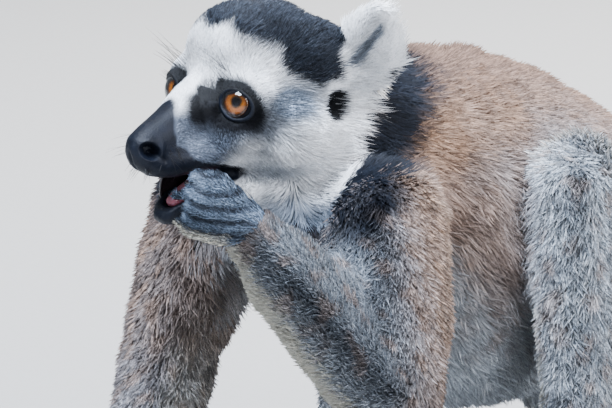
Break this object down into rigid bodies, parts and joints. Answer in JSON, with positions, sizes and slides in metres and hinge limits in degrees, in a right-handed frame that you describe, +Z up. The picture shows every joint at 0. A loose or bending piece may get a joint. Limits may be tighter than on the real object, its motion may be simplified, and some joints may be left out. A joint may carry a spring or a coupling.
{
  "type": "ring-tailed lemur",
  "caption": "Life-size ring-tailed lemur crouched on the ground, left hand raised to its open mouth, long ringed tail laid out behind.",
  "frame": {"origin": "on the ground, under the middle of the animal's bounding box", "axes": "-Y the way the animal faces, +Y towards the tail's tip, +X the animal's left, +Z up"},
  "size_m": [0.198, 0.9044, 0.2397],
  "materials": {
    "face_coat": "short soft fur, white with a charcoal cap and black eye patches",
    "lip_skin": "bare black skin, moist",
    "tongue_flesh": "wet pink flesh",
    "eye": "amber iris and black pupil under a clear glossy cornea",
    "body_coat": "dense fur, grey-brown above and whitish below",
    "limb_coat": "dense woolly fur, speckled light grey",
    "hand_and_foot_skin": "short grey fur above, bare black skin below",
    "tail_coat": "bushy fur in black and white rings, black tip"
  },
  "bodies": {
    "root": {"head": "face_coat", "lower_jaw": "lip_skin", "tongue": "tongue_flesh", "eye_left": "eye", "eye_right": "eye", "ear_left": "face_coat", "ear_right": "face_coat", "neck": "body_coat", "chest": "body_coat", "belly": "body_coat", "rump": "body_coat", "upper_arm_left": "limb_coat", "forearm_left": "limb_coat", "hand_left": "hand_and_foot_skin", "thigh_left": "limb_coat", "shin_left": "limb_coat", "foot_left": "hand_and_foot_skin", "upper_arm_right": "limb_coat", "forearm_right": "limb_coat", "hand_right": "hand_and_foot_skin", "thigh_right": "limb_coat", "shin_right": "limb_coat", "foot_right": "hand_and_foot_skin", "tail_1": "tail_coat", "tail_2": "tail_coat", "tail_3": "tail_coat", "tail_4": "tail_coat", "tail_5": "tail_coat"}
  },
  "joints": []
}
